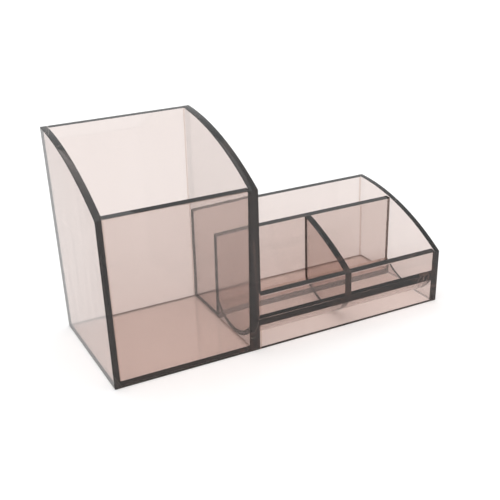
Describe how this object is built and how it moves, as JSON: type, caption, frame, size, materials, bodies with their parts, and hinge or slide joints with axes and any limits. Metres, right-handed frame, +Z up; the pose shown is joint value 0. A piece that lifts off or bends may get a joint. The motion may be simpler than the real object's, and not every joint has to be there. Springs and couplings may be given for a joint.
{
  "type": "desk organizer",
  "caption": "Clear smoked-plastic desk organizer: a tall pen cup with arched sloping sides beside a low tray with a rear slot and scooped front compartments.",
  "frame": {"origin": "on the table, under the middle of the organizer's outer box", "axes": "+X along the organizer's length from the pen cup to the tray, +Y from the front walls to the back walls, +Z up"},
  "size_m": [0.1828, 0.0742, 0.1055],
  "materials": {
    "smoked_clear": "clear, polished, grey-brown smoke tint that is pale face on and dark charcoal along the edges"
  },
  "bodies": {
    "root": {"cup_left_wall": "smoked_clear", "middle_wall": "smoked_clear", "cup_front_wall": "smoked_clear", "cup_back_wall": "smoked_clear", "cup_floor": "smoked_clear", "tray_right_wall": "smoked_clear", "tray_front_wall": "smoked_clear", "tray_back_wall": "smoked_clear", "slot_floor": "smoked_clear", "long_divider": "smoked_clear", "scoop_floor": "smoked_clear", "centre_divider": "smoked_clear"}
  },
  "joints": []
}
